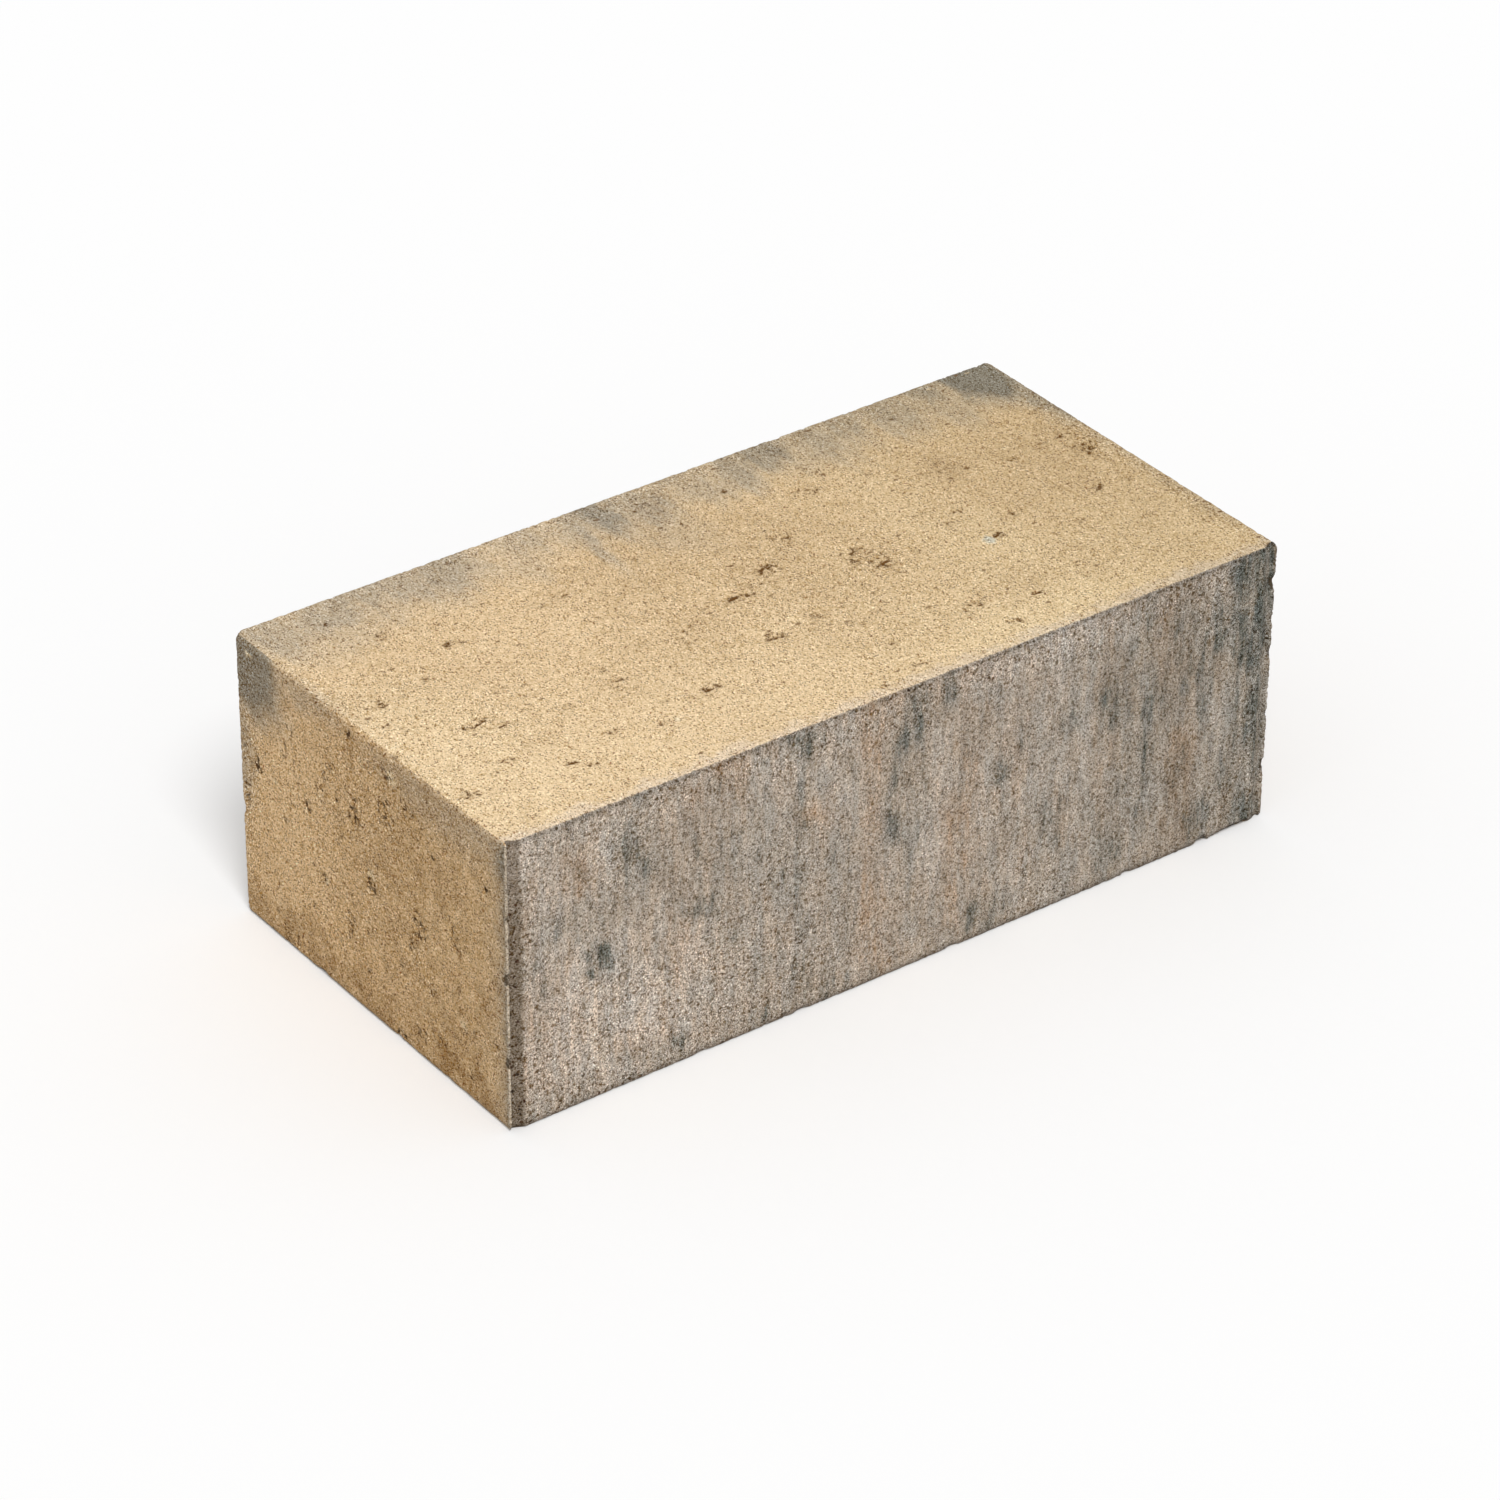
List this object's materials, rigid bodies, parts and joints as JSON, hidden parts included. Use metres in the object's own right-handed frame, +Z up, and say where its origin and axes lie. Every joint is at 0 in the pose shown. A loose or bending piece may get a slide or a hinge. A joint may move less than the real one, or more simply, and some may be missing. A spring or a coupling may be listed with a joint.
{
  "type": "concrete wall block",
  "caption": "Solid dry-cast concrete wall block with a mottled grey-brown facing, bevelled short edges and sandy yellow bed faces.",
  "frame": {"origin": "middle of the lower bed face", "axes": "+X along the wall, the facing looks towards -Y, +Z up from the lower bed face to the upper bed face"},
  "size_m": [0.3, 0.15, 0.105],
  "materials": {
    "concrete": "matte"
  },
  "bodies": {
    "root": {"wall_block": "concrete"}
  },
  "joints": []
}
